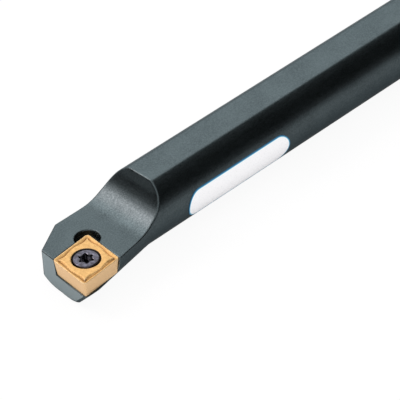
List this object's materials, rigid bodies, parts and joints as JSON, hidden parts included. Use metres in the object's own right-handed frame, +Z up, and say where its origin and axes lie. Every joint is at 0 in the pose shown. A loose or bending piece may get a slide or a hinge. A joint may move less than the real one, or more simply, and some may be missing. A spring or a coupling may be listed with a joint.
{
  "type": "boring bar",
  "caption": "Round steel boring bar with a top flat, a scooped and flared cutting head, a four-sided clamped insert in a corner pocket, its countersunk screw and a plain label.",
  "frame": {"origin": "centre of the shank's back face, on the shank's axis", "axes": "+X along the bar to the cutting head, +Y to the cutting side, +Z up out of the rake face and the top flat"},
  "size_m": [0.125, 0.0115, 0.0096],
  "materials": {
    "black_steel": "satin",
    "coated_carbide": "satin",
    "screw_steel": "satin",
    "label_film": "gloss"
  },
  "bodies": {
    "bar": {"bar": "black_steel", "insert": "coated_carbide", "label": "label_film"},
    "screw": {"clamp_screw": "screw_steel"}
  },
  "joints": [
    {"name": "screw_turn", "type": "hinge", "parent": "bar", "child": "screw", "pos_m": [0.12146, 0.00296, 0], "axis": [0, 0, 1], "range_deg": [0, 1776]}
  ]
}
